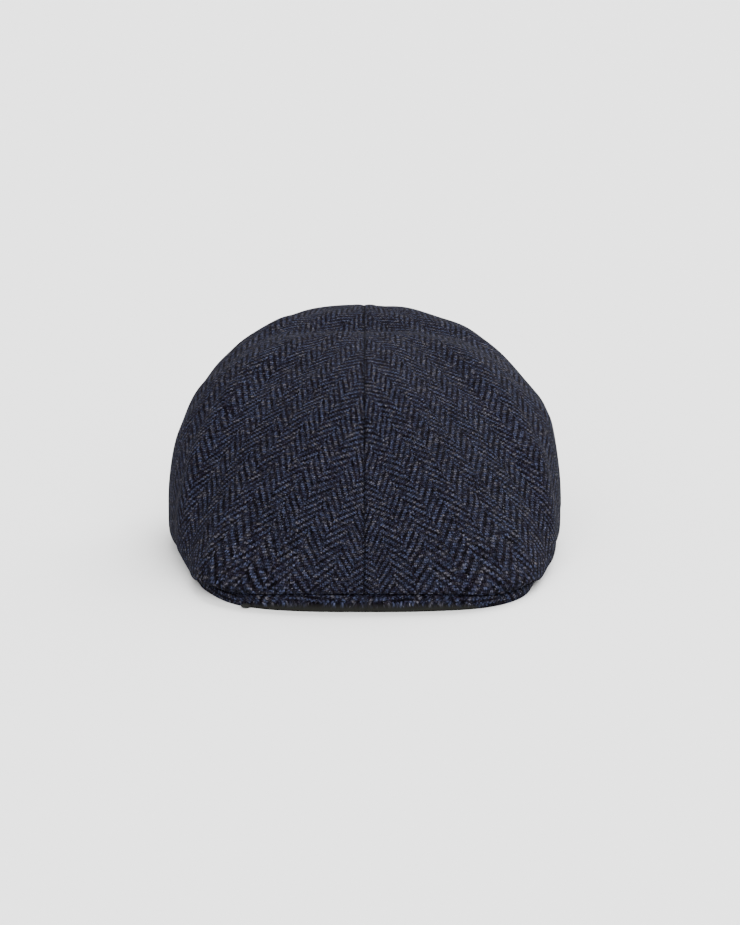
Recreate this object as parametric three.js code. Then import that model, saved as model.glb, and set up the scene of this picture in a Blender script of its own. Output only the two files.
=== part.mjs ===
// Flat cap of herringbone wool with a stitched-down peak, resting on its rim.
// Millimetres, height along +Z, the peak points to -Y. Left and right are as seen from the front,
// so the right half lies on the +X side.
import * as THREE from 'three';

// Sizes
const HEAD_LENGTH = 200;      // opening for the head, front to back
const HEAD_WIDTH = 164;       // opening for the head, side to side
const CAP_WIDTH = 207;        // over the side bulges
const CAP_HEIGHT = 112;       // crown above the table
const PEAK_REACH = 50;        // from the head opening forward to the peak's edge
const PEAK_WIDTH = 170;       // across the peak
const PEAK_THICKNESS = 5.2;   // board with its cloth cover
const PEAK_ARCH = 3.8;        // rise of the middle of the peak's edge above the table
const CLOTH = 2.0;            // wool cloth with its seam allowance and backing
const BAND_THICKNESS = 1.2;   // inner band at the rim
const BAND_HEIGHT = 30;
const GAP = 0.3;              // between neighbouring pieces

// Derived places
const CENTRE = PEAK_REACH + HEAD_LENGTH / 2;            // middle of the head opening, behind the edge
const RIM = BAND_THICKNESS + GAP + CLOTH;               // crown's foot outside the head opening
const RIM_WIDE = HEAD_WIDTH / 2 + RIM;
const RIM_LONG = HEAD_LENGTH / 2 + RIM;
const OVERHANG = CAP_WIDTH / 2 - RIM_WIDE - GAP / 2;    // side bulge past the rim
const PEAK_LENGTH = PEAK_REACH + 0.46 * HEAD_LENGTH;
const PEAK_BLUNT = 2.9;       // 2 would be a plain oval, more is squarer
const ARCH_REACH = 0.44 * PEAK_WIDTH;   // each side of the middle over which the edge is lifted
const PEAK_END = 60;          // degrees each side of the front at which the peak's tips end
const BAND_SHOWS = 33;        // degrees each side over which the peak's edge shows
const BAND_HIDDEN = 39;       // from here the crown comes down outside the peak
const PEAK_INSET = CLOTH + 3 * GAP;
const PEAK_PROUD = 0.4;       // the peak's edge past the crown's edge

// Grid of the crown: columns round one half, rings from the top down, rings turned under
const COLUMNS = 36;
const RINGS = 24;
const TUCKS = 6;

// The crown's outline section by section round one half, from the front to the back.
// degrees: turn from the front; over: bulge past the foot, as a share of OVERHANG
// widest: height of the widest ring as a share of CAP_HEIGHT
// fall and round: how the top falls to the widest ring; tuck: how it turns under
const SECTIONS = [
  { degrees: 0, over: 0.03, widest: 0.107, fall: 2.75, round: 1.00, tuck: 2.0 },
  { degrees: 16, over: 0.03, widest: 0.098, fall: 2.70, round: 1.00, tuck: 2.0 },
  { degrees: 30, over: 0.10, widest: 0.080, fall: 2.55, round: 1.05, tuck: 2.2 },
  { degrees: 45, over: 0.51, widest: 0.060, fall: 2.45, round: 1.35, tuck: 3.2 },
  { degrees: 60, over: 1.05, widest: 0.150, fall: 2.45, round: 1.80, tuck: 5.2 },
  { degrees: 68, over: 1.12, widest: 0.152, fall: 2.48, round: 1.95, tuck: 6.0 },
  { degrees: 76, over: 1.06, widest: 0.170, fall: 2.50, round: 2.10, tuck: 6.8 },
  { degrees: 90, over: 1.00, widest: 0.200, fall: 2.50, round: 2.25, tuck: 6.5 },
  { degrees: 125, over: 0.92, widest: 0.270, fall: 2.50, round: 2.25, tuck: 4.0 },
  { degrees: 180, over: 0.70, widest: 0.360, fall: 2.55, round: 2.20, tuck: 2.6 },
];

// Where the top of the crown lies: behind the middle of the opening
const TOP_SHIFT = 0.26 * HEAD_LENGTH;

// Dents and ridges that follow the arc where the front rolls over, as seen in plan.
// past: distance behind the arc; wide: half-width of the fold; rise: + ridge, - dent,
// all as shares of CAP_HEIGHT; at and reach: where it is strongest across, shares of
// CAP_WIDTH
const FOLDS = [
  { name: 'dip behind the ridge', past: 0.205, wide: 0.125, rise: -0.05, at: 0, reach: 0.36 },
  { name: 'dent of the shoulder', past: 0.215, wide: 0.12, rise: -0.01, at: 0.28, reach: 0.09 },
  { name: 'hump left of the seam', past: -0.02, wide: 0.11, rise: 0.016, at: -0.17, reach: 0.13 },
  { name: 'hump right of the seam', past: -0.02, wide: 0.11, rise: 0.016, at: 0.17, reach: 0.13 },
];
// the arc: an oval in plan
const ARC_CENTRE = 0.44 * HEAD_LENGTH;
const ARC_ACROSS = 0.464 * CAP_WIDTH;
const ARC_BACK = 0.37 * HEAD_LENGTH;
// the valley of the centre seam, deeper where it crosses the ridge
const VALLEY_WIDE = 0.063 * CAP_WIDTH;
const VALLEY_DEEP = 0.011 * CAP_HEIGHT;
const VALLEY_EXTRA = 0.023 * CAP_HEIGHT;
// the tuck low on the left, where the bulge meets the peak's corner
const TUCK_DEGREES = 50;
const TUCK_SPREAD = 14;
const TUCK_DEEP = 0.21 * OVERHANG;
// the fuller shoulder of the right half
const SWELL_DEEP = 0.15 * OVERHANG;
const SWELL_AT = 0.92;
const SWELL_SPREAD = 0.05;

const radians = (degrees) => degrees * Math.PI / 180;
const bell = (x) => Math.exp(-x * x);
const clamp = (x) => Math.min(1, Math.max(0, x));
const ease = (x) => clamp(x) * clamp(x) * (3 - 2 * clamp(x));

// One smooth curve through a column of SECTIONS
function section(name, degrees) {
  const rows = SECTIONS;
  const last = rows.length - 1;
  let k = 0;
  while (k < last - 1 && degrees > rows[k + 1].degrees) k += 1;
  const before = k > 0 ? rows[k - 1] : { ...rows[1], degrees: -rows[1].degrees };
  const after = k + 2 <= last ? rows[k + 2] : { ...rows[last - 1], degrees: 360 - rows[last - 1].degrees };
  const from = rows[k];
  const to = rows[k + 1];
  const span = to.degrees - from.degrees;
  const u = (degrees - from.degrees) / span;
  const m0 = (to[name] - before[name]) / (to.degrees - before.degrees) * span;
  const m1 = (after[name] - from[name]) / (after.degrees - from.degrees) * span;
  const a = 2 * u ** 3 - 3 * u ** 2 + 1;
  const b = u ** 3 - 2 * u ** 2 + u;
  const c = -2 * u ** 3 + 3 * u ** 2;
  return a * from[name] + b * m0 + c * to[name] + (u ** 3 - u ** 2) * m1;
}

// Radius of an oval about its own middle
function oval(angle, wide, long, power = 2) {
  const s = Math.abs(Math.sin(angle)) / wide;
  const c = Math.abs(Math.cos(angle)) / long;
  return (s ** power + c ** power) ** (-1 / power);
}

// Radius of the peak's outline, a blunt oval, about the middle of the head opening
function peakRadius(angle) {
  let near = 0;
  let far = CENTRE + PEAK_WIDTH;
  for (let k = 0; k < 40; k += 1) {
    const r = (near + far) / 2;
    const across = Math.abs(r * Math.sin(angle)) / (PEAK_WIDTH / 2);
    const along = Math.abs(CENTRE - r * Math.cos(angle) - PEAK_LENGTH / 2) / (PEAK_LENGTH / 2);
    const within = across ** PEAK_BLUNT + along ** PEAK_BLUNT < 1;
    near = within ? r : near;
    far = within ? far : r;
  }
  return near;
}

// Radius of the crown's foot: the larger of the rim and the peak, blended
function footRadius(angle) {
  const rim = oval(angle, RIM_WIDE, RIM_LONG);
  const peak = peakRadius(angle);
  return (rim ** 24 + peak ** 24) ** (1 / 24);
}

// The peak's underside: lifted along the front, on the table at its corners
function peakBottom(x) {
  const share = Math.min(1, Math.abs(x) / ARCH_REACH);
  return PEAK_ARCH * Math.cos(share ** 2 * Math.PI / 2) ** 2;
}

// Height of the crown's foot above the table
function footHeight(angle) {
  const degrees = angle * 180 / Math.PI;
  const x = footRadius(angle) * Math.sin(angle);
  const down = ease((degrees - BAND_HIDDEN - 1) / 10);
  return (peakBottom(x) + PEAK_THICKNESS + GAP) * (1 - down);
}

// Rise and fall of the cloth over the smooth form, at a place in plan
function foldHeight(x, behind, share) {
  const across = Math.abs(x) / ARC_ACROSS;
  const along = Math.abs(behind - ARC_CENTRE) / ARC_BACK;
  const past = ((across ** 3 + along ** 3) ** (1 / 3) - 1) * ARC_BACK;
  const back = 1 / (1 + Math.exp(-(behind - 0.625 * HEAD_LENGTH) / (0.04 * HEAD_LENGTH)));
  let rise = 0;
  for (const fold of FOLDS) {
    const near = bell((past - fold.past * CAP_HEIGHT) / (fold.wide * CAP_HEIGHT));
    const there = bell((x - fold.at * CAP_WIDTH) / (fold.reach * CAP_WIDTH));
    rise += fold.rise * CAP_HEIGHT * near * there * back;
  }
  const crossing = bell((behind - 0.82 * HEAD_LENGTH) / (0.14 * HEAD_LENGTH));
  const valley = (VALLEY_DEEP + VALLEY_EXTRA * crossing) * clamp(behind / (0.3 * HEAD_LENGTH));
  rise -= valley * bell(x / VALLEY_WIDE);
  return rise * clamp((1 - share) / 0.25) ** 0.7;
}

// Outside of the crown: side +1 or -1, angle from the front, step 0 top, 1 widest, 2 foot
function crownPoint(side, angle, step) {
  const degrees = angle * 180 / Math.PI;
  const foot = footRadius(angle);
  const tucked = side < 0 ? TUCK_DEEP * bell((degrees - TUCK_DEGREES) / TUCK_SPREAD) : 0;
  const over = section('over', degrees) * OVERHANG;
  const widest = section('widest', degrees) * CAP_HEIGHT;
  const out = (r, behind, z) => {
    const x = side * (GAP / 2 + Math.max(0, r * Math.sin(angle)));
    return new THREE.Vector3(x, behind - r * Math.cos(angle), z);
  };
  if (step > 1) {
    const t = step - 1;
    const low = footHeight(angle);
    const r = foot + (over - tucked) * (1 - t ** section('tuck', degrees));
    return out(r, CENTRE, widest + (low - widest) * t);
  }
  const share = Math.sin(step * Math.PI / 2);
  const long = Math.cos(angle) > 0 ? CENTRE : RIM_LONG + SECTIONS[SECTIONS.length - 1].over * OVERHANG;
  const round = oval(angle, CAP_WIDTH / 2 - GAP / 2, long);
  const low = foot + over - tucked;
  const fuller = SWELL_DEEP * bell((share - SWELL_AT) / SWELL_SPREAD) * Math.sin(angle) ** 2;
  const swell = side > 0 ? fuller : 0;
  const r = share * ((1 - share ** 2) * round + share ** 2 * low) + swell;
  const behind = CENTRE + TOP_SHIFT * (1 - share ** 2);
  const fall = 1 - Math.max(0, 1 - share ** section('fall', degrees)) ** (1 / section('round', degrees));
  const p = out(r, behind, CAP_HEIGHT - (CAP_HEIGHT - widest) * fall);
  p.z += foldHeight(p.x, p.y, share);
  return p;
}

// Direction out of the cloth at a place on the crown
function crownNormal(side, angle, step) {
  const da = 0.01;
  const ds = 0.01;
  const turn = crownPoint(side, Math.min(Math.PI, angle + da), step);
  turn.sub(crownPoint(side, Math.max(0, angle - da), step));
  const down = crownPoint(side, angle, Math.min(2, step + ds));
  down.sub(crownPoint(side, angle, Math.max(0, step - ds)));
  const n = new THREE.Vector3().crossVectors(down, turn).multiplyScalar(side);
  if (angle < 1e-6 || angle > Math.PI - 1e-6) n.x = 0;
  return n.normalize();
}

// Closed mesh from corner points and faces given as index lists
function solid(name, points, faces, colour, roughness) {
  const flat = [];
  for (const p of points) flat.push(p.x, p.y, p.z);
  const index = [];
  for (const f of faces) {
    for (let k = 1; k + 1 < f.length; k += 1) index.push(f[0], f[k], f[k + 1]);
  }
  const geometry = new THREE.BufferGeometry();
  geometry.setAttribute('position', new THREE.Float32BufferAttribute(flat, 3));
  geometry.setIndex(index);
  geometry.computeVertexNormals();
  const material = new THREE.MeshStandardMaterial({ color: colour, roughness, metalness: 0 });
  const mesh = new THREE.Mesh(geometry, material);
  mesh.name = name;
  return mesh;
}

// One half of the crown: outer and inner skins joined along the seam and the foot
function crownHalf(name, side, colour) {
  const steps = [];
  for (let k = 1; k <= RINGS; k += 1) steps.push(k / RINGS);
  for (let k = 1; k <= TUCKS; k += 1) steps.push(1 + k / TUCKS);
  const columns = [];
  for (let k = 0; k <= COLUMNS; k += 1) columns.push(Math.PI * k / COLUMNS);
  const points = [];
  const skin = (depth) => {
    const start = points.length;
    const top = crownPoint(side, Math.PI / 2, 0);
    points.push(new THREE.Vector3(top.x, top.y, top.z - depth));
    for (const step of steps) {
      for (const angle of columns) {
        const p = crownPoint(side, angle, step);
        p.addScaledVector(crownNormal(side, angle, step), -depth);
        if (Math.abs(p.x) < GAP / 2 || angle === 0 || angle === Math.PI) p.x = side * GAP / 2;
        p.z = Math.max(p.z, 0);
        points.push(p);
      }
    }
    return start;
  };
  const outer = skin(0);
  const inner = skin(CLOTH);
  const at = (start, ring, column) => start + 1 + ring * columns.length + column;
  const faces = [];
  const add = (list) => faces.push(side > 0 ? list : [...list].reverse());
  const last = steps.length - 1;
  for (let c = 0; c < COLUMNS; c += 1) {
    add([outer, at(outer, 0, c), at(outer, 0, c + 1)]);
    add([inner, at(inner, 0, c + 1), at(inner, 0, c)]);
    for (let r = 0; r < last; r += 1) {
      add([at(outer, r, c), at(outer, r + 1, c), at(outer, r + 1, c + 1), at(outer, r, c + 1)]);
      add([at(inner, r, c), at(inner, r, c + 1), at(inner, r + 1, c + 1), at(inner, r + 1, c)]);
    }
    add([at(outer, last, c), at(inner, last, c), at(inner, last, c + 1), at(outer, last, c + 1)]);
  }
  for (const [column, turned] of [[0, true], [COLUMNS, false]]) {
    const edge = (list) => add(turned ? [...list].reverse() : list);
    edge([outer, at(outer, 0, column), at(inner, 0, column), inner]);
    for (let r = 0; r < last; r += 1) {
      edge([at(outer, r, column), at(outer, r + 1, column), at(inner, r + 1, column), at(inner, r, column)]);
    }
  }
  return solid(name, points, faces, colour, 0.95);
}

// The peak: a stiff crescent under the crown's front, its rounded edge showing
function peak(name, colour) {
  const columns = 72;
  const across = 5;
  const nose = 5;
  const clear = BAND_THICKNESS + GAP;
  const inside = (angle) => oval(angle, HEAD_WIDTH / 2 + clear, HEAD_LENGTH / 2 + clear);
  const points = [];
  let loop = 0;
  for (let k = 0; k <= columns; k += 1) {
    const degrees = -PEAK_END + 2 * PEAK_END * k / columns;
    const angle = radians(Math.abs(degrees));
    const sign = degrees < 0 ? -1 : 1;
    const hidden = ease((Math.abs(degrees) - BAND_SHOWS) / (BAND_HIDDEN - BAND_SHOWS));
    const outer = footRadius(angle) + PEAK_PROUD * (1 - hidden) - PEAK_INSET * hidden;
    const inner = inside(angle);
    const half = PEAK_THICKNESS / 2;
    const row = [];
    for (let j = 0; j <= across; j += 1) {
      row.push([outer - half + (inner - outer + half) * (1 - j / across), half]);
    }
    for (let j = 1; j < nose; j += 1) {
      const turn = Math.PI / 2 - Math.PI * j / nose;
      row.push([outer - half + half * Math.cos(turn), half * Math.sin(turn)]);
    }
    for (let j = 0; j <= across; j += 1) {
      row.push([outer - half + (inner - outer + half) * (j / across), -half]);
    }
    for (const [r, z] of row) {
      const x = sign * r * Math.sin(angle);
      const lift = peakBottom(footRadius(angle) * Math.sin(angle) * r / outer);
      points.push(new THREE.Vector3(x, CENTRE - r * Math.cos(angle), lift + half + z));
    }
    loop = row.length;
  }
  const faces = [];
  for (let k = 0; k < columns; k += 1) {
    for (let j = 0; j < loop; j += 1) {
      const next = (j + 1) % loop;
      faces.push([k * loop + j, k * loop + next, (k + 1) * loop + next, (k + 1) * loop + j]);
    }
  }
  const first = [];
  const end = [];
  for (let j = 0; j < loop; j += 1) {
    first.push(loop - 1 - j);
    end.push(columns * loop + j);
  }
  faces.push(first, end);
  return solid(name, points, faces, colour, 0.95);
}

// The inner band: an upright oval ring standing on the table
function innerBand(name, colour) {
  const columns = 96;
  const points = [];
  for (let k = 0; k < columns; k += 1) {
    const angle = 2 * Math.PI * k / columns;
    const inside = oval(angle, HEAD_WIDTH / 2, HEAD_LENGTH / 2);
    const outside = oval(angle, HEAD_WIDTH / 2 + BAND_THICKNESS, HEAD_LENGTH / 2 + BAND_THICKNESS);
    for (const [r, z] of [[inside, 0], [outside, 0], [outside, BAND_HEIGHT], [inside, BAND_HEIGHT]]) {
      points.push(new THREE.Vector3(r * Math.sin(angle), CENTRE - r * Math.cos(angle), z));
    }
  }
  const faces = [];
  for (let k = 0; k < columns; k += 1) {
    const next = (k + 1) % columns;
    for (let j = 0; j < 4; j += 1) {
      const up = (j + 1) % 4;
      faces.push([k * 4 + j, next * 4 + j, next * 4 + up, k * 4 + up]);
    }
  }
  return solid(name, points, faces, colour, 0.8);
}

const cap = new THREE.Group();
cap.name = 'flat_cap';
cap.add(crownHalf('crown_left', -1, 0x2b2c3a));
cap.add(crownHalf('crown_right', 1, 0x2c2d3c));
cap.add(peak('peak', 0x2a2b36));
cap.add(innerBand('inner_band', 0x26262c));

// Middle of the whole on the axis, the lowest point at height zero
const box = new THREE.Box3().setFromObject(cap);
const middle = box.getCenter(new THREE.Vector3());
for (const mesh of cap.children) mesh.geometry.translate(-middle.x, -middle.y, -box.min.z);

export default cap;
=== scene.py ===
"""A flat cap of dark blue herringbone wool, resting on its rim on a pale floor.

The crown is two cloth halves that meet at a centre seam and run on over a short stiff peak, to
which they are stitched just above its edge. Lengths are millimetres until they go into a mesh.
"""
import math
import random

import bmesh
import bpy
import numpy as np
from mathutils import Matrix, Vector


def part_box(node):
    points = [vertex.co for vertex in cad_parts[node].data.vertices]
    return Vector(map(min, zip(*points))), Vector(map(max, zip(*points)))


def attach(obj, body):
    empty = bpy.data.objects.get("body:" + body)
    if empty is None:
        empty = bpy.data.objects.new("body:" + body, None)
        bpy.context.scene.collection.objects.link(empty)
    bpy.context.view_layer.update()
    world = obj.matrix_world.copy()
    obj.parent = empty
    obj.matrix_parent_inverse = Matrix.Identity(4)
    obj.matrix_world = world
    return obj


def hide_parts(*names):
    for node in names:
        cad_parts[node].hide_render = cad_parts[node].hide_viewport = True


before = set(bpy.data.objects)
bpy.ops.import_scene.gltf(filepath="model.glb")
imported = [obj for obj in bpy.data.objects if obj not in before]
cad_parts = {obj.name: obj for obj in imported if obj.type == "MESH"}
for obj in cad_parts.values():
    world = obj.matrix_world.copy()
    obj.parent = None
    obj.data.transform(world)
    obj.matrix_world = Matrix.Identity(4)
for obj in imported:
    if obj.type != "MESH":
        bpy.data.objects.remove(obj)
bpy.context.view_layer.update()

MM = 0.001

# Sizes, the same as the solids'
HEAD_LENGTH = 200.0      # opening for the head, front to back
HEAD_WIDTH = 164.0       # opening for the head, side to side
CAP_WIDTH = 207.0        # over the side bulges
CAP_HEIGHT = 112.0       # crown above the table
PEAK_REACH = 50.0        # from the head opening forward to the peak's edge
PEAK_WIDTH = 170.0       # across the peak
PEAK_THICKNESS = 5.2     # board with its cloth cover
PEAK_ARCH = 3.8          # rise of the middle of the peak's edge above the table
CLOTH = 2.0              # thickness of the crown's cloth
BAND_THICKNESS = 1.2     # inner band at the rim
BAND_HEIGHT = 30.0
GAP = 0.3                # air between neighbouring solids

CENTRE = PEAK_REACH + HEAD_LENGTH / 2            # middle of the head opening, behind the edge
RIM = BAND_THICKNESS + GAP + CLOTH               # crown's foot outside the head opening
RIM_WIDE = HEAD_WIDTH / 2 + RIM
RIM_LONG = HEAD_LENGTH / 2 + RIM
OVERHANG = CAP_WIDTH / 2 - RIM_WIDE - GAP / 2    # side bulge past the rim
PEAK_LENGTH = PEAK_REACH + 0.46 * HEAD_LENGTH
PEAK_BLUNT = 2.9         # 2 would be a plain oval, more is squarer
ARCH_REACH = 0.44 * PEAK_WIDTH   # each side of the middle over which the edge is lifted
TOP_SHIFT = 0.26 * HEAD_LENGTH   # how far back the top of the crown lies

# The peak's edge, in degrees each side of the front
PEAK_END = 60.0          # where the peak's tips end
TIP_ROUND = 3.0          # over which the tips round off
STITCHED = 36.0          # as far as the stitches go
GROOVE_FADES = 39.0      # about where the groove above the edge has gone
EDGE_DOWN_FROM = 37.0    # where the crown's edge starts to come down over the edge
EDGE_DOWN_OVER = 8.0
TUCKS_IN_FROM = 43.0     # where the peak draws in under the crown's edge
TUCKS_IN_OVER = 4.0
FULL_AGAIN_FROM = 45.0   # where the board is back at its full thickness, out of sight
FULL_AGAIN_OVER = 4.0
THINS_FROM = 27.0        # where the edge starts to thin out
THINS_OVER = 12.0
EDGE_THINS = 0.4         # share of the thickness that it loses

# The section of the peak's cover, a loop from 0 to 1: top, nose, underside
NOSE_FROM = 0.4
NOSE_TO = 0.6
THINS_UNTIL = 0.66
UNDER_SHADOW_FROM = 0.62     # where the painted shadow on the underside starts
PEAK_PROUD = 0.1         # the cover past the crown's edge
UNDERSIDE_STARTS = 0.15  # behind the nose, where the underside turns down to the table
UNDERSIDE_COMES_DOWN = 0.9
TABLE = 0.02             # lowest height of the cloth, clear of the floor
PEAK_EDGE_LONG = 118.0   # from the front to a tip, along the edge
RIM_GIRTH = 577.0        # round the inner band

# degrees from the front, bulge past the foot, height of the widest ring, fall, round, tuck
SECTIONS = [
    (0, 0.03, 0.107, 2.75, 1.00, 2.0),
    (16, 0.03, 0.098, 2.70, 1.00, 2.0),
    (30, 0.10, 0.080, 2.55, 1.05, 2.2),
    (45, 0.51, 0.060, 2.45, 1.35, 3.2),
    (60, 1.05, 0.150, 2.45, 1.80, 5.2),
    (68, 1.12, 0.152, 2.48, 1.95, 6.0),
    (76, 1.06, 0.170, 2.50, 2.10, 6.8),
    (90, 1.00, 0.200, 2.50, 2.25, 6.5),
    (125, 0.92, 0.270, 2.50, 2.25, 4.0),
    (180, 0.70, 0.360, 2.55, 2.20, 2.6),
]
OVER, WIDEST, FALL, ROUND, TUCK = 1, 2, 3, 4, 5

# past the arc, half-width, rise, where it is strongest across, reach across
FOLDS = [
    (0.205, 0.125, -0.05, 0, 0.36),
    (0.215, 0.12, -0.01, 0.28, 0.09),
    (-0.02, 0.11, 0.016, -0.17, 0.13),
    (-0.02, 0.11, 0.016, 0.17, 0.13),
]
ARC_CENTRE = 0.44 * HEAD_LENGTH
ARC_ACROSS = 0.464 * CAP_WIDTH
ARC_BACK = 0.37 * HEAD_LENGTH
FOLDS_FROM = 0.625 * HEAD_LENGTH     # the folds lie behind this, and come in softly
FOLDS_COME_IN = 0.04 * HEAD_LENGTH
VALLEY_WIDE = 0.063 * CAP_WIDTH      # the valley along the seam
VALLEY_DEEP = 0.011 * CAP_HEIGHT
VALLEY_EXTRA = 0.023 * CAP_HEIGHT    # deeper where the folds cross it
VALLEY_DEEPEST = 0.82 * HEAD_LENGTH
VALLEY_LONG = 0.14 * HEAD_LENGTH
VALLEY_COMES_IN = 0.3 * HEAD_LENGTH
TUCK_DEGREES = 50.0
TUCK_SPREAD = 14.0
TUCK_DEEP = 0.21 * OVERHANG
SWELL_DEEP = 0.15 * OVERHANG
SWELL_AT = 0.92
SWELL_SPREAD = 0.05

# Finer shape of the cloth than the solids have
SEAM_ROLL = 0.8          # how far the halves' edges turn down into the seam
SEAM_ROLL_WIDE = 1.5
ALLOWANCE_WIDE = 5.5     # the pressed seam allowance under the cloth
ALLOWANCE_HIGH = 0.4
EDGE_ROLL = 0.7          # how far the stitched front edge draws in at the groove
RIPPLE = 0.16            # unevenness of worn cloth
RIPPLES = 9
RIPPLE_LONG = (16, 46)   # from crest to crest
BACK_AT = 200.0          # swells where the cloth rounds over to the back
BACK_LONG = 45.0
# height, place across, width
BACK_SWELLS = [(1.3, 0, 13), (-0.9, 38, 13), (0.9, -42, 8), (-0.6, -28, 8)]
# the peak's corners are not alike: side, how much fuller, degrees from the front, spread
CORNERS = [
    (1, 1.6, 23, 6),
    (1, 1.8, 34, 8),
    (1, 2.4, 46, 6),
    (-1, 1.0, 46, 6),
    (-1, -3.2, 33, 7),
]
LEAST_OVER = 0.5         # bulge that a fuller corner leaves to the widest ring
SEAM_DARK = 0.62         # half-width of the seam's shadow line
SEAM_SHADE = 0.8         # how dark that line is
GROOVE_FROM = 1.86       # step of the crown's form at which the groove's shadow starts

TAB_X = -59.0            # the small dark end that shows below the edge
TAB_BEHIND = 9.4
TAB_HALF_SIZES = (2.6, 2.3, 1.1)

# The weave
WARP = 1.06              # from yarn to yarn across the bands
WEFT = 1.24              # from yarn to yarn along them
YARNS_A_BAND = 9
CUT_FROM = {-1: (400.0, 300.0), 1: (0.0, 0.0)}   # where each half was cut from the cloth
PEAK_CUT_FROM = (700.0, 150.0)
LEAN_IN_FRONT = 59.0     # degrees that the bands lean towards the seam at the peak
LEAN_FADES = 0.21        # degrees less for each millimetre along the seam
DRIFT = (3.0, 4.0)       # how far the weave wanders, across the bands and along them
TREMBLE = (0.7, 0.9)
FUZZ = 1.9               # flecks to the millimetre along a ply
GRAIN = 1.5              # specks to the millimetre
FLECK_SHARE = 0.55       # how strong the pale flecks are
YARN_GAP_SHADE = 0.26     # painted shade: brightness between two yarns
EDGE_SHADE = 0.85        # how dark the painted shade in the seam and the groove gets
PLAIN_PITCH = 0.5        # from yarn to yarn in the inner band


# The form

def bell(x):
    return np.exp(-x * x)


def clamp(x):
    return np.clip(x, 0.0, 1.0)


def ease(x):
    return clamp(x) ** 2 * (3 - 2 * clamp(x))


def section(column, degrees):
    """A smooth curve through one column of SECTIONS."""
    turns = [-SECTIONS[1][0]] + [row[0] for row in SECTIONS] + [360 - SECTIONS[-2][0]]
    values = [SECTIONS[1][column]] + [row[column] for row in SECTIONS] + [SECTIONS[-2][column]]
    turns = np.array(turns, float)
    values = np.array(values, float)
    k = np.clip(np.searchsorted(turns, degrees, side="right") - 1, 1, len(SECTIONS) - 1)
    span = turns[k + 1] - turns[k]
    u = (degrees - turns[k]) / span
    leave = (values[k + 1] - values[k - 1]) / (turns[k + 1] - turns[k - 1]) * span
    arrive = (values[k + 2] - values[k]) / (turns[k + 2] - turns[k]) * span
    return (
        (2 * u**3 - 3 * u**2 + 1) * values[k]
        + (u**3 - 2 * u**2 + u) * leave
        + (-2 * u**3 + 3 * u**2) * values[k + 1]
        + (u**3 - u**2) * arrive
    )


def oval(angle, wide, long):
    return 1 / np.hypot(np.sin(angle) / wide, np.cos(angle) / long)


def peak_radius(angle):
    near = np.zeros_like(angle)
    far = np.full_like(angle, CENTRE + PEAK_WIDTH)
    for _ in range(40):
        r = (near + far) / 2
        across = np.abs(r * np.sin(angle)) / (PEAK_WIDTH / 2)
        along = np.abs(CENTRE - r * np.cos(angle) - PEAK_LENGTH / 2) / (PEAK_LENGTH / 2)
        within = across**PEAK_BLUNT + along**PEAK_BLUNT < 1
        near = np.where(within, r, near)
        far = np.where(within, far, r)
    return near


def corner(angle, side):
    """How much fuller a corner of the peak is than the other one."""
    more = np.zeros_like(angle)
    for which, full, at, spread in CORNERS:
        more = more + np.where(side == which, full * bell((np.degrees(angle) - at) / spread), 0.0)
    return more


def foot_radius(angle, side):
    plain = (oval(angle, RIM_WIDE, RIM_LONG) ** 24 + peak_radius(angle) ** 24) ** (1 / 24)
    return plain + corner(angle, side)


def peak_bottom(x):
    share = np.minimum(1, np.abs(x) / ARCH_REACH)
    return PEAK_ARCH * np.cos(share**2 * math.pi / 2) ** 2


def edge_down(degrees):
    """How far the crown's edge has come down past the end of the peak."""
    return ease((degrees - EDGE_DOWN_FROM) / EDGE_DOWN_OVER)


def foot_height(angle, side):
    x = foot_radius(angle, side) * np.sin(angle)
    return (peak_bottom(x) + PEAK_THICKNESS + GAP) * (1 - edge_down(np.degrees(angle)))


def fold_height(x, behind, share):
    across = (np.abs(x) / ARC_ACROSS) ** 3
    along = (np.abs(behind - ARC_CENTRE) / ARC_BACK) ** 3
    past = ((across + along) ** (1 / 3) - 1) * ARC_BACK
    back = 1 / (1 + np.exp(-(behind - FOLDS_FROM) / FOLDS_COME_IN))
    rise = 0
    for place, wide, high, at, reach in FOLDS:
        near = bell((past - place * CAP_HEIGHT) / (wide * CAP_HEIGHT))
        there = bell((x - at * CAP_WIDTH) / (reach * CAP_WIDTH))
        rise = rise + high * CAP_HEIGHT * near * there * back
    crossing = bell((behind - VALLEY_DEEPEST) / VALLEY_LONG)
    valley = (VALLEY_DEEP + VALLEY_EXTRA * crossing) * clamp(behind / VALLEY_COMES_IN)
    rise = rise - valley * bell(x / VALLEY_WIDE)
    return rise * clamp((1 - share) / 0.25) ** 0.7


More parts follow.
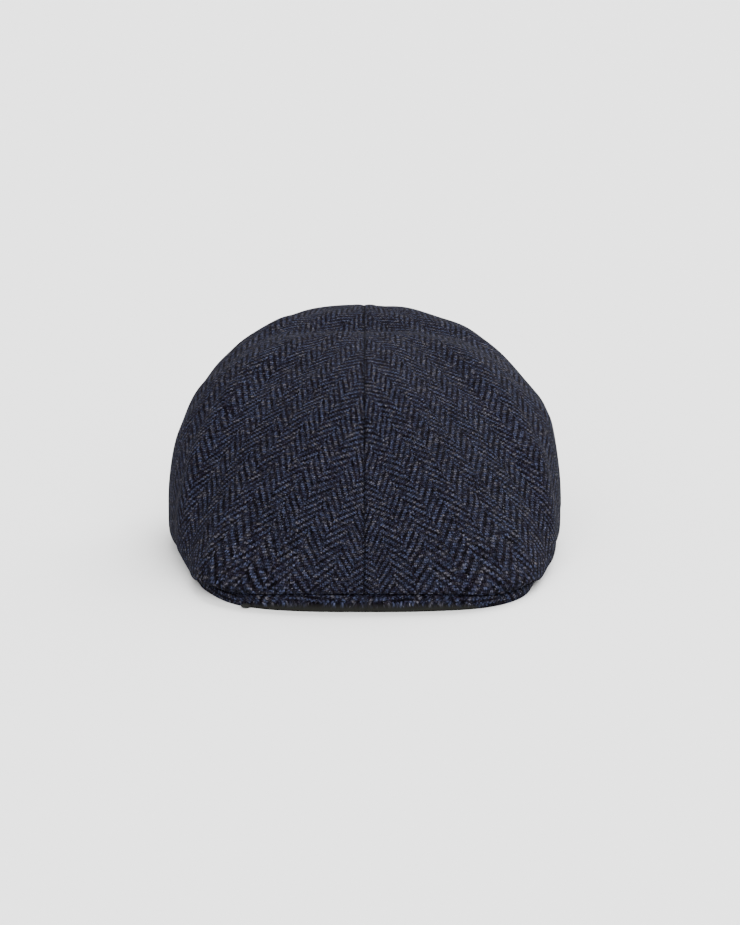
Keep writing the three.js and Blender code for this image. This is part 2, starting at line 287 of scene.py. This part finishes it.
def crown_form(side, angle, step):
    """Places on the outside of one half: step 0 is the top, 1 the widest ring, 2 the foot."""
    degrees = np.degrees(angle)
    foot = foot_radius(angle, side)
    tucked = TUCK_DEEP * bell((degrees - TUCK_DEGREES) / TUCK_SPREAD) if side < 0 else 0.0
    over = section(OVER, degrees) * OVERHANG
    over = np.maximum(over - corner(angle, side), np.minimum(over, LEAST_OVER))
    widest = section(WIDEST, degrees) * CAP_HEIGHT

    t = clamp(step - 1)
    low_r = foot + (over - tucked) * (1 - t ** section(TUCK, degrees))
    low_z = widest + (foot_height(angle, side) - widest) * t
    front = ease((GROOVE_FADES + 4 - degrees) / 12)
    low_r = low_r - EDGE_ROLL * front * t**2

    share = np.sin(clamp(step) * math.pi / 2)
    long = np.where(np.cos(angle) > 0, CENTRE, RIM_LONG + SECTIONS[-1][OVER] * OVERHANG)
    top_r = oval(angle, CAP_WIDTH / 2 - GAP / 2, long)
    top_r = share * ((1 - share**2) * top_r + share**2 * (foot + over - tucked))
    if side > 0:
        fuller = SWELL_DEEP * bell((share - SWELL_AT) / SWELL_SPREAD)
        top_r = top_r + fuller * np.sin(angle) ** 2
    fall = 1 - np.maximum(0, 1 - share ** section(FALL, degrees)) ** (1 / section(ROUND, degrees))
    top_z = CAP_HEIGHT - (CAP_HEIGHT - widest) * fall

    low = step > 1
    r = np.where(low, low_r, top_r)
    x = side * np.maximum(0, r * np.sin(angle))
    behind = np.where(low, CENTRE, CENTRE + TOP_SHIFT * (1 - share**2)) - r * np.cos(angle)
    z = np.where(low, low_z, top_z + fold_height(x, behind, share))
    return np.stack([x, behind, z], -1)


def seam_and_ripple(points, side):
    """Adds what the solids leave out: the rolled seam, its allowance and faint unevenness."""
    x, behind, z = points.T
    across = np.abs(x)
    ridge = ALLOWANCE_HIGH * (1.0 if side > 0 else 0.5)
    lift = ridge * (1 - ease((across - ALLOWANCE_WIDE + 0.8) / 1.6))
    back = bell((behind - BACK_AT) / BACK_LONG)
    lift = lift - SEAM_ROLL * bell(across / SEAM_ROLL_WIDE) * (1 - 0.7 * back)
    for high, at, wide in BACK_SWELLS:
        lift = lift + back * high * bell((x - at) / wide)
    draw = random.Random(7 if side > 0 else 11)
    for _ in range(RIPPLES):
        turn = draw.uniform(0, math.pi)
        length = draw.uniform(*RIPPLE_LONG)
        phase = draw.uniform(0, 2 * math.pi)
        wave = np.cos(turn) * x + np.sin(turn) * (behind + 0.7 * z)
        lift = lift + RIPPLE * np.sin(2 * math.pi * wave / length + phase) * clamp(across / 12)
    return lift


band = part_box("inner_band")
MIDDLE_X = (band[0][0] + band[1][0]) / 2
MIDDLE_Y = (band[0][1] + band[1][1]) / 2


def placed(points):
    """From millimetres behind the peak's edge to the model's frame, in metres."""
    x, behind, z = points.T
    return np.stack([MIDDLE_X + x * MM, MIDDLE_Y + (behind - CENTRE) * MM, z * MM], -1)


# Mesh helpers

def start(primitive, name, **settings):
    bpy.ops.object.select_all(action="DESELECT")
    primitive(**settings)
    piece = bpy.context.object
    piece.name = name
    piece.data.name = name
    return piece


def start_grid(name, across, along):
    """A flat grid, the start of each cut piece of cloth, and its places from -1 to 1."""
    grid = bpy.ops.mesh.primitive_grid_add
    piece = start(grid, name, x_subdivisions=across, y_subdivisions=along, size=2)
    places = grid_places(piece)
    return piece, places[:, 0], places[:, 1]


def grid_places(piece):
    flat = np.zeros(len(piece.data.vertices) * 3)
    piece.data.vertices.foreach_get("co", flat)
    return flat.reshape(-1, 3)


def move_to(piece, metres):
    piece.data.vertices.foreach_set("co", np.ascontiguousarray(metres, dtype=np.float64).ravel())
    piece.data.update()


def mend(piece, close=False, reverse=False, outwards=False):
    """Closes a grid that meets itself, and turns its faces over or outwards."""
    bm = bmesh.new()
    bm.from_mesh(piece.data)
    if close:
        bmesh.ops.remove_doubles(bm, verts=bm.verts, dist=1e-5)
    if reverse:
        bmesh.ops.reverse_faces(bm, faces=bm.faces)
    if outwards:
        bmesh.ops.recalc_face_normals(bm, faces=bm.faces)
    bm.to_mesh(piece.data)
    bm.free()


def only(piece):
    bpy.ops.object.select_all(action="DESELECT")
    piece.select_set(True)
    bpy.context.view_layer.objects.active = piece


def apply_modifiers(piece):
    only(piece)
    for modifier in list(piece.modifiers):
        bpy.ops.object.modifier_apply(modifier=modifier.name)


def smooth(piece, degrees=40):
    only(piece)
    bpy.ops.object.shade_smooth_by_angle(angle=math.radians(degrees))


def add_wall(piece, thickness):
    wall = piece.modifiers.new("wall", "SOLIDIFY")
    wall.thickness = thickness * MM
    wall.offset = -1
    wall.use_even_offset = True
    wall.thickness_clamp = 0.6
    apply_modifiers(piece)


def mark(piece, name, shares):
    """Keeps a share from 0 to 1 at each place, for the finish to read."""
    layer = piece.data.attributes.new(name, "FLOAT", "POINT")
    layer.data.foreach_set("value", np.ascontiguousarray(shares, dtype=np.float32))


def unroll(piece):
    """Flattens the piece into the cloth it was cut from, with the least stretch."""
    only(piece)
    bpy.ops.object.mode_set(mode="EDIT")
    bpy.ops.mesh.select_all(action="SELECT")
    bpy.ops.uv.unwrap(method="ANGLE_BASED", margin=0.001)
    bpy.ops.object.mode_set(mode="OBJECT")


def lay_flat(piece, flat):
    """Gives each place of the piece its own place on the flat cloth."""
    layer = piece.data.uv_layers.active
    layer.name = "Cloth"
    corners = np.zeros(len(piece.data.loops), dtype=np.int64)
    piece.data.loops.foreach_get("vertex_index", corners)
    layer.data.foreach_set("uv", flat[corners].ravel())


def weave_places(out, along):
    """Where a place on the flat cloth lies in the weave, whose bands lean in towards the seam."""
    first = math.radians(LEAN_IN_FRONT)
    fade = math.radians(LEAN_FADES)
    lean = first - fade * along
    across_bands = out * np.cos(lean) + (np.cos(lean) - math.cos(first)) / fade
    with_bands = -out * np.sin(lean) + (math.sin(first) - np.sin(lean)) / fade
    return np.stack([across_bands, with_bands], -1)


def lay_weave(piece, seam_from, seam_to, shift):
    """Scales the flat cloth to millimetres and turns it so that V runs with the bands.

    Gives back the cloth's area in square metres, and its length and width as cut.
    """
    mesh = piece.data
    layer = mesh.uv_layers.active
    layer.name = "Cloth"
    uv = np.zeros(len(mesh.loops) * 2)
    layer.data.foreach_get("uv", uv)
    uv = uv.reshape(-1, 2)
    flat_area = 0.0
    real_area = 0.0
    for face in mesh.polygons:
        corners = uv[list(face.loop_indices)]
        nxt = np.roll(corners, -1, axis=0)
        flat_area += abs(np.sum(corners[:, 0] * nxt[:, 1] - corners[:, 1] * nxt[:, 0])) / 2
        real_area += face.area
    scale = math.sqrt(real_area / flat_area) / MM
    corner_of = {}
    for loop in mesh.loops:
        corner_of.setdefault(loop.vertex_index, loop.index)
    origin = uv[corner_of[seam_from]]
    run = uv[corner_of[seam_to]] - origin
    run /= np.linalg.norm(run)
    moved = (uv - origin) * scale
    along = moved @ run
    out = moved @ np.array([run[1], -run[0]])
    out *= math.copysign(1, out.mean())
    layer.data.foreach_set("uv", (weave_places(out, along) + shift).ravel())
    return real_area, np.ptp(along) * MM, np.ptp(out) * MM


# Shader maths

class Number:
    """A socket's value, so that shader maths reads as arithmetic."""

    def __init__(self, maker, socket):
        self.maker = maker
        self.socket = socket

    def math(self, operation, *values, clamp_it=False):
        node = self.maker.node("ShaderNodeMath", {"operation": operation, "use_clamp": clamp_it})
        for k, value in enumerate(values):
            self.maker.feed(node.inputs[k], value)
        return Number(self.maker, node.outputs[0])

    def __add__(self, other):
        return self.math("ADD", self, other)

    __radd__ = __add__

    def __sub__(self, other):
        return self.math("SUBTRACT", self, other)

    def __rsub__(self, other):
        return self.math("SUBTRACT", other, self)

    def __mul__(self, other):
        return self.math("MULTIPLY", self, other)

    def __truediv__(self, other):
        return self.math("DIVIDE", self, other)

    def floor(self):
        return self.math("FLOOR", self)

    def part(self):
        return self.math("FRACT", self)

    def rest(self, whole):
        return self.math("FLOORED_MODULO", self, whole)

    def below(self, limit):
        return self.math("LESS_THAN", self, limit)

    def held(self):
        return self.math("ADD", self, 0.0, clamp_it=True)

    def ramp(self, low, high):
        node = self.maker.node("ShaderNodeMapRange", {"interpolation_type": "SMOOTHSTEP"})
        for name, value in (("Value", self), ("From Min", low), ("From Max", high)):
            self.maker.feed(node.inputs[name], value)
        return Number(self.maker, node.outputs["Result"])


class Finish:
    """One material and the nodes in it."""

    def __init__(self, name):
        self.material = bpy.data.materials.new(name)
        self.material.use_nodes = True
        self.tree = self.material.node_tree
        self.tree.nodes.clear()
        self.shader = self.node("ShaderNodeBsdfPrincipled")
        output = self.node("ShaderNodeOutputMaterial")
        self.tree.links.new(self.shader.outputs[0], output.inputs["Surface"])

    def feed(self, socket, value):
        if isinstance(value, Number):
            value = value.socket
        if isinstance(value, bpy.types.NodeSocket):
            self.tree.links.new(value, socket)
        else:
            socket.default_value = value

    def node(self, kind, settings=None, inputs=None):
        node = self.tree.nodes.new(kind)
        for name, value in (settings or {}).items():
            setattr(node, name, value)
        for name, value in (inputs or {}).items():
            self.feed(node.inputs[name], value)
        return node

    def vector(self, x, y, z=0.0):
        node = self.node("ShaderNodeCombineXYZ", inputs={"X": x, "Y": y, "Z": z})
        return node.outputs[0]

    def noise(self, place, scale, detail=2.0, roughness=0.5):
        values = {"Vector": place, "Scale": scale, "Detail": detail, "Roughness": roughness}
        return Number(self, self.node("ShaderNodeTexNoise", inputs=values).outputs["Fac"])

    def blend(self, share, first, second, how="MIX"):
        node = self.node("ShaderNodeMix", {"data_type": "RGBA", "blend_type": how})
        self.feed(node.inputs[0], share)
        self.feed(node.inputs[6], first)
        self.feed(node.inputs[7], second)
        return node.outputs[2]

    def set(self, **values):
        for name, value in values.items():
            self.feed(self.shader.inputs[name.replace("_", " ")], value)


def linear(red, green, blue):
    """A colour given in screen values, 0 to 255."""
    share = [v / 255 for v in (red, green, blue)]
    light = [v / 12.92 if v < 0.04045 else ((v + 0.055) / 1.055) ** 2.4 for v in share]
    return (*light, 1.0)


WARP_DARK = linear(5, 4, 6)
WARP_LIGHT = linear(22, 17, 24)
WEFT_DARK = linear(20, 18, 29)
WEFT_BLUE = linear(46, 50, 69)
WEFT_GREY = linear(67, 65, 70)
FLECK = linear(97, 97, 102)
# painted shadow: the charcoal of the peak's underside and its turned-down edge
UNDER_SHADOW_COLOUR = linear(30, 30, 28)


def cloth_place(cloth):
    """The two directions on the flat cloth, in millimetres."""
    uv = cloth.node("ShaderNodeUVMap", {"uv_map": "Cloth"}).outputs[0]
    split = cloth.node("ShaderNodeSeparateXYZ", inputs={"Vector": uv})
    return Number(cloth, split.outputs["X"]), Number(cloth, split.outputs["Y"])


def yarn_height(u, v, warp_pitch, weft_pitch, weft_up):
    """Rounded yarns, of which the weft or the warp lies on top."""
    across = (u / warp_pitch).part() * 2 - 1
    along = (v / weft_pitch).part() * 2 - 1
    return (1 - along * along) * weft_up + (1 - across * across) * (1 - weft_up)


def marked(cloth, name):
    return cloth.node("ShaderNodeAttribute", {"attribute_name": name}).outputs["Fac"]


def bump(finish, strength, distance, height):
    inputs = {"Strength": strength, "Distance": distance * MM, "Height": height}
    return finish.node("ShaderNodeBump", inputs=inputs).outputs[0]


def herringbone(name, light=1.0):
    """Wool in a two-and-two twill whose direction turns every band, with heathered yarns."""
    cloth = Finish(name)
    u, v = cloth_place(cloth)
    place = cloth.vector(u, v)
    wander = cloth.noise(place, 0.035, 2.0)
    wander_across = cloth.noise(cloth.vector(v, u, 9.0), 0.035, 2.0)
    tremble = cloth.noise(place, 0.55, 1.0)
    v = v + (wander - 0.5) * DRIFT[1] + (tremble - 0.5) * TREMBLE[1]
    u = u + (wander_across - 0.5) * DRIFT[0] + (tremble - 0.5) * TREMBLE[0]

    warp = (u / WARP).floor()
    weft = (v / WEFT).floor()
    stripe = (warp / YARNS_A_BAND).floor()
    inside = warp - stripe * YARNS_A_BAND
    turn = 1 - stripe.rest(2.0) * 2
    phase = (weft + turn * inside + stripe * 2).rest(4.0)
    weft_up = 1 - phase.below(1.5)

    # each yarn is spun of fibres in several colours, in streaks a few millimetres long
    warp_wool = cloth.noise(cloth.vector(warp * 3.7, v * 0.30, 2.0), 1.0, 3.0, 0.7)
    weft_wool = cloth.noise(cloth.vector(u * 0.30, weft * 3.7, 7.0), 1.0, 3.0, 0.7)
    tint = cloth.noise(cloth.vector(u * 0.20, weft * 1.9, 13.0), 1.0, 2.0, 0.6)
    # and of two plies, each with flecks of its own
    warp_ply = (u / (WARP / 2)).floor() * 2.3
    weft_ply = (v / (WEFT / 2)).floor() * 2.3
    warp_fuzz = cloth.noise(cloth.vector(warp_ply, v * FUZZ, 21.0), 1.0, 2.0, 0.7)
    weft_fuzz = cloth.noise(cloth.vector(u * FUZZ, weft_ply, 27.0), 1.0, 2.0, 0.7)
    fuzz = warp_fuzz + (weft_fuzz - warp_fuzz) * weft_up
    fleck = fuzz.ramp(0.64, 0.74)

    warp_colour = cloth.blend(warp_wool.ramp(0.38, 0.70), WARP_DARK, WARP_LIGHT)
    weft_colour = cloth.blend(weft_wool.ramp(0.36, 0.64), WEFT_DARK, WEFT_BLUE)
    weft_colour = cloth.blend(tint.ramp(0.48, 0.70) * 0.8, weft_colour, WEFT_GREY)
    worn = cloth.noise(cloth.vector(u, v, 41.0), 0.22, 2.0).ramp(0.36, 0.60)
    shows = 0.5 + (weft_up - 0.5) * (0.5 + worn * 0.45)
    colour = cloth.blend(shows, warp_colour, weft_colour)
    colour = cloth.blend(fleck * FLECK_SHARE, colour, FLECK)

    # painted shade between the round yarns and in the seams; large clouds, the plies' flecks and
    # a fine grain in the wool's own tone
    height = yarn_height(u, v, WARP, WEFT, weft_up)
    shade = YARN_GAP_SHADE + height * (1 - YARN_GAP_SHADE)
    cloud = cloth.noise(place, 0.018, 2.0)
    shade = shade * (0.88 + cloud * 0.24) * (0.27 + fuzz.ramp(0.34, 0.66) * 1.48) * light
    grain = cloth.noise(place, GRAIN, 1.0)
    shade = shade * (0.62 + grain.ramp(0.36, 0.64) * 0.76)
    # painted shade: the seam and the groove above the peak's edge are darkened in the colour
    shade = shade * (1 - Number(cloth, marked(cloth, "PaintedEdgeShade")) * EDGE_SHADE)
    dark = cloth.vector(shade, shade, shade)
    colour = cloth.blend(1.0, colour, dark, "MULTIPLY")
    # painted shadow: the peak's underside and the part turned down to the table are coloured
    # charcoal
    colour = cloth.blend(marked(cloth, "PaintedShadowUnder"), colour, UNDER_SHADOW_COLOUR)

    hair = cloth.noise(place, 2.6, 2.0, 0.7)
    relief = height * 0.7 + hair * 0.6 + fuzz * 0.5
    cloth.set(Base_Color=colour, Roughness=0.92, Normal=bump(cloth, 0.55, 0.35, relief))
    cloth.set(Specular_IOR_Level=0.02)
    return cloth.material


def plain_cloth(name, dark, pale):
    """A close plain weave for the inner band."""
    cloth = Finish(name)
    u, v = cloth_place(cloth)
    weft_up = ((u / PLAIN_PITCH).floor() + (v / PLAIN_PITCH).floor()).rest(2.0)
    height = yarn_height(u, v, PLAIN_PITCH, PLAIN_PITCH, weft_up)
    wool = cloth.noise(cloth.vector(u * 0.2, v * 0.9), 1.0, 3.0, 0.6)
    # painted shade: the yarns' height makes the gaps between them darker
    colour = cloth.blend((wool * 0.7 + height * 0.3).held(), dark, pale)
    cloth.set(Base_Color=colour, Roughness=0.85, Normal=bump(cloth, 0.4, 0.15, height))
    cloth.set(Specular_IOR_Level=0.1)
    return cloth.material


def thread_finish(name, dark, pale):
    thread = Finish(name)
    place = thread.node("ShaderNodeTexCoord").outputs["Object"]
    twist = thread.noise(place, 2500.0, 2.0)
    colour = thread.blend(twist, dark, pale)
    thread.set(Base_Color=colour, Roughness=0.8, Normal=bump(thread, 0.4, 0.05, twist))
    thread.set(Specular_IOR_Level=0.1)
    return thread.material


CROWN_WOOL = herringbone("navy herringbone wool")
PEAK_WOOL = herringbone("navy herringbone wool of the peak", 0.95)
BAND_CLOTH = plain_cloth("dark band cloth", linear(12, 12, 14), linear(28, 28, 32))
TAB_CLOTH = thread_finish("charcoal tab", linear(24, 24, 23), linear(36, 36, 34))
THREAD = thread_finish("dark navy thread", linear(6, 6, 10), linear(18, 19, 26))


def dress(piece, material, body="root"):
    piece.data.materials.clear()
    piece.data.materials.append(material)
    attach(piece, body)


# The crown's halves

CROWN_ACROSS = 96        # squares in the grid
CROWN_ALONG = 190
CROWDED = 1.35           # how much closer the grid's lines lie at the seam
TOP_SHARE = 0.80         # share of the disc that lies above the widest ring
WEAVE_FROM = 0.12        # the two places along the seam that set the weave's direction
WEAVE_TO = 0.5


def crown_half(name, node, side):
    piece, grid_x, grid_y = start_grid(name, CROWN_ACROSS, CROWN_ALONG)
    # the square grid becomes half a disc, whose straight side is the seam
    across = clamp((grid_x + 1) / 2) ** CROWDED
    along = np.clip(grid_y, -1, 1)
    disc_x = across * np.sqrt(1 - along**2 / 2)
    disc_y = along * np.sqrt(1 - across**2 / 2)
    angle = np.arctan2(disc_x, -disc_y)
    radius = np.minimum(np.hypot(disc_x, disc_y), 1)
    below = 1 + (radius - TOP_SHARE) / (1 - TOP_SHARE)
    step = np.where(radius < TOP_SHARE, radius / TOP_SHARE, below)
    points = crown_form(side, angle, step)
    lift = seam_and_ripple(points, side) * clamp((2 - step) / 0.8)
    points[:, 2] += lift
    on_seam = grid_x < -0.9999
    points[on_seam, 0] = 0
    points[:, 2] = np.maximum(points[:, 2], TABLE)
    move_to(piece, placed(points))
    # painted shade: a dark line along the seam, and in the groove above the peak's edge
    seam_shadow_line = SEAM_SHADE * bell(points[:, 0] / SEAM_DARK)
    groove_shadow = ease((step - GROOVE_FROM) / (2 - GROOVE_FROM))
    groove_shadow = groove_shadow * ease((GROOVE_FADES + 6 - np.degrees(angle)) / 8)
    mark(piece, "PaintedEdgeShade", np.maximum(seam_shadow_line, groove_shadow))
    if side < 0:
        mend(piece, reverse=True)
    unroll(piece)
    seam = np.flatnonzero(on_seam)
    order = seam[np.argsort(points[seam, 1] - 0.2 * points[seam, 2])]
    near = int(order[int(len(order) * WEAVE_FROM)])
    far = int(order[int(len(order) * WEAVE_TO)])
    area, length, width = lay_weave(piece, near, far, CUT_FROM[side])
    add_wall(piece, CLOTH)
    smooth(piece, 50)
    dress(piece, CROWN_WOOL)
    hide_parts(node)


crown_half("crown_left_cloth", "crown_left", -1)
crown_half("crown_right_cloth", "crown_right", 1)


# The peak: a board in a cloth cover, its rounded edge showing below the stitched groove

def peak_cover():
    piece, grid_x, grid_y = start_grid("peak_cover", 220, 64)
    turn = np.clip(grid_x, -1, 1) * PEAK_END
    sign = np.where(turn < 0, -1, 1)
    degrees = np.abs(turn)
    angle = np.radians(degrees)
    way = (np.clip(grid_y, -1, 1) + 1) / 2
    hidden = ease((degrees - TUCKS_IN_FROM) / TUCKS_IN_OVER)
    taper = 1 - edge_down(degrees) * (1 - ease((degrees - FULL_AGAIN_FROM) / FULL_AGAIN_OVER))
    outer = foot_radius(angle, sign) + PEAK_PROUD * (1 - hidden) - (CLOTH + 3 * GAP) * hidden
    clear = BAND_THICKNESS + GAP
    inner = oval(angle, HEAD_WIDTH / 2 + clear, HEAD_LENGTH / 2 + clear)
    tip = np.sqrt(clamp(1 - clamp((degrees - PEAK_END + TIP_ROUND) / TIP_ROUND) ** 2))
    half = PEAK_THICKNESS / 2
    # the section's loop: top from the inner edge out, round the nose, and back underneath
    top = way < NOSE_FROM
    nose = (way >= NOSE_FROM) & (way < NOSE_TO)
    bend = math.pi / 2 - math.pi * (way - NOSE_FROM) / (NOSE_TO - NOSE_FROM)
    flat_to = outer - half
    r_top = inner + (flat_to - inner) * (way / NOSE_FROM)
    r_low = flat_to + (inner - flat_to) * ((way - NOSE_TO) / (1 - NOSE_TO))
    r = np.where(top, r_top, np.where(nose, flat_to + half * np.cos(bend), r_low))
    z = np.where(top, half, np.where(nose, half * np.sin(bend), -half))
    shut = np.minimum(way, 1 - way) * 60
    z = z * tip * np.sqrt(clamp(1 - clamp(1 - shut) ** 2))
    x = sign * r * np.sin(angle)
    behind = CENTRE - r * np.cos(angle)
    lift = peak_bottom(foot_radius(angle, sign) * np.sin(angle) * r / outer)
    # the edge thins out at its ends, and the underside comes down to the table behind it
    low = way > 0.5
    thins = EDGE_THINS * ease((degrees - THINS_FROM) / THINS_OVER) * (way < THINS_UNTIL)
    z = lift + half + z + (half - z) * thins
    under = ease((outer - UNDERSIDE_STARTS - r) / UNDERSIDE_COMES_DOWN) * low
    z = np.maximum((z + (TABLE - z) * under * tip) * taper, TABLE)
    # painted shadow: the part that turns down to the table, and the whole underside behind the
    # nose
    dark = np.maximum(ease((lift - 0.4 - z) / 0.3), ease((way - UNDER_SHADOW_FROM) / 0.02)) * low
    move_to(piece, placed(np.stack([x, behind, z], -1)))
    mark(piece, "PaintedShadowUnder", dark)
    # the cloth's length is measured from the front of the nose
    quarter = math.pi / 2 * half
    run = np.abs(way - 0.5) / ((NOSE_TO - NOSE_FROM) / 2)
    length = np.where(run < 1, run * quarter, quarter + np.abs(flat_to - r))
    length = np.where(way < 0.5, length, -length)
    out = degrees / PEAK_END * PEAK_EDGE_LONG
    cut_from = np.where(sign[:, None] < 0, PEAK_CUT_FROM, (0.0, 0.0))
    lay_flat(piece, weave_places(out, length) + cut_from)
    mend(piece, close=True, outwards=True)
    smooth(piece, 60)
    dress(piece, PEAK_WOOL)
    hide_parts("peak")


peak_cover()


# The inner band: a folded strip round the rim

def inner_band():
    piece, grid_x, grid_y = start_grid("inner_band_cloth", 200, 12)
    angle = (np.clip(grid_x, -1, 1) + 1) * math.pi
    high = (np.clip(grid_y, -1, 1) + 1) / 2
    r = oval(angle, HEAD_WIDTH / 2 + BAND_THICKNESS, HEAD_LENGTH / 2 + BAND_THICKNESS) - 0.02
    x = r * np.sin(angle)
    behind = CENTRE - r * np.cos(angle)
    z = 0.05 + high * (BAND_HEIGHT - 0.1)
    move_to(piece, placed(np.stack([x, behind, z], -1)))
    lay_flat(piece, np.stack([angle / (2 * math.pi) * RIM_GIRTH, z], -1))
    mend(piece, close=True)
    # faces look outwards before the wall is added inwards
    middle = Vector((MIDDLE_X, MIDDLE_Y, 0))
    face = piece.data.polygons[0]
    if face.normal.dot(face.center - middle) < 0:
        mend(piece, reverse=True)
    add_wall(piece, BAND_THICKNESS)
    rounded = piece.modifiers.new("edge", "BEVEL")
    rounded.width = 0.4 * MM
    rounded.segments = 3
    rounded.angle_limit = math.radians(60)
    apply_modifiers(piece)
    smooth(piece, 60)
    dress(piece, BAND_CLOTH)
    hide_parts("inner_band")


inner_band()


# The stitches that hold the crown's front to the peak

def stitches():
    pitch = 3.4
    long = 2.3
    thick = 0.42
    blunt = 0.6              # 1 would be an oval, less is blunter at the ends
    proud = 0.05
    along_section = 1.55     # step of the crown's form at which they lie
    sphere = bpy.ops.mesh.primitive_uv_sphere_add
    turns = np.radians(np.linspace(-STITCHED, STITCHED, 2400))
    path = np.zeros((len(turns), 3))
    for side, at in ((-1, turns < 0), (1, turns >= 0)):
        path[at] = crown_form(side, np.abs(turns[at]), np.full(at.sum(), along_section))
    run = np.concatenate([[0], np.cumsum(np.linalg.norm(np.diff(path, axis=0), axis=1))])

    def place_at(distance):
        return np.array([np.interp(distance, run, path[:, c]) for c in range(3)])

    meshes = []
    for k in range(int(run[-1] / pitch)):
        middle = (k + 0.5) * pitch
        first = place_at(middle - long / 2)
        last = place_at(middle + long / 2)
        along = (last - first) / np.linalg.norm(last - first)
        out = np.cross(along, (0.0, 0.0, 1.0))
        out /= np.linalg.norm(out)
        up = np.cross(out, along)
        stitch = start(sphere, "stitch", segments=8, ring_count=6, radius=1)
        x, y, z = np.split(grid_places(stitch), 3, axis=1)
        stretch = np.sign(z) * np.abs(z) ** blunt
        body = (first + last) / 2 + out * proud + stretch * along * long / 2
        body = body + (x * out + y * up) * thick / 2
        move_to(stitch, placed(body))
        meshes.append(stitch)
    only(meshes[0])
    for stitch in meshes:
        stitch.select_set(True)
    bpy.ops.object.join()
    piece = bpy.context.object
    piece.name = "peak_stitches"
    piece.data.name = "peak_stitches"
    mend(piece, outwards=True)
    smooth(piece, 80)
    dress(piece, THREAD)


stitches()


def tab_end():
    """The dark end of a tab that shows below the peak's edge at the left."""
    sphere = bpy.ops.mesh.primitive_uv_sphere_add
    piece = start(sphere, "tab_end", segments=24, ring_count=16, radius=1)
    middle = (TAB_X, TAB_BEHIND, TAB_HALF_SIZES[2] + 0.03)
    move_to(piece, placed(grid_places(piece) * TAB_HALF_SIZES + middle))
    smooth(piece, 80)
    dress(piece, TAB_CLOTH)


tab_end()


# Floor, light and camera

LAMP_COLOUR = (0.985, 0.995, 1.0)
SKY_COLOUR = (1.0, 0.985, 0.965, 1.0)
SKY_STRENGTH = 0.85
FLOOR_GREY = 0.92


def backdrop():
    floor = start(bpy.ops.mesh.primitive_plane_add, "floor", size=24, location=(0, 0, 0))
    paper = Finish("pale paper")
    paper.set(Base_Color=(FLOOR_GREY, FLOOR_GREY, FLOOR_GREY, 1.0), Roughness=0.9)
    paper.set(Specular_IOR_Level=0.1)
    floor.data.materials.append(paper.material)


def lamp(name, angle_across, angle_up, strength, size):
    """A wide, far light. Angles are in degrees, the first one to the right of the front."""
    light = start(bpy.ops.object.light_add, name, type="SUN", location=(0, 0, 2))
    light.data.energy = strength
    light.data.angle = math.radians(size)
    light.data.color = LAMP_COLOUR
    a = math.radians(angle_across)
    e = math.radians(angle_up)
    toward = Vector((math.sin(a) * math.cos(e), -math.cos(a) * math.cos(e), math.sin(e)))
    light.rotation_euler = toward.to_track_quat("Z", "Y").to_euler()


backdrop()

world = bpy.data.worlds.new("studio")
bpy.context.scene.world = world
world.use_nodes = True
sky = world.node_tree.nodes["Background"]
sky.inputs["Color"].default_value = SKY_COLOUR
sky.inputs["Strength"].default_value = SKY_STRENGTH

lamp("softbox behind", 155, 42, 6.2, 55)
lamp("softbox front", 2, 36, 5.3, 70)

# the camera looks at LOOK, which comes to lie at LOOK_PIXEL of the picture
LOOK = Vector((MIDDLE_X, MIDDLE_Y - 17 * MM, 50 * MM))
LOOK_PIXEL = (364.5, 453.7)
ELEVATION = math.radians(13.1)
DISTANCE = 2.2
PIXELS_A_METRE = 1910    # at that distance
IMAGE = (740, 925)
SENSOR = 36

camera_data = bpy.data.cameras.new("camera")
camera = bpy.data.objects.new("camera", camera_data)
bpy.context.collection.objects.link(camera)
back = Vector((0, -math.cos(ELEVATION), math.sin(ELEVATION)))
camera.location = LOOK + back * DISTANCE
camera.rotation_euler = back.to_track_quat("Z", "Y").to_euler()
camera_data.sensor_fit = "HORIZONTAL"
camera_data.sensor_width = SENSOR
camera_data.lens = PIXELS_A_METRE * DISTANCE / IMAGE[0] * SENSOR
camera_data.shift_x = (IMAGE[0] / 2 - LOOK_PIXEL[0]) / IMAGE[0]
camera_data.shift_y = -(IMAGE[1] / 2 - LOOK_PIXEL[1]) / IMAGE[0]
camera_data.clip_end = 100
bpy.context.scene.camera = camera
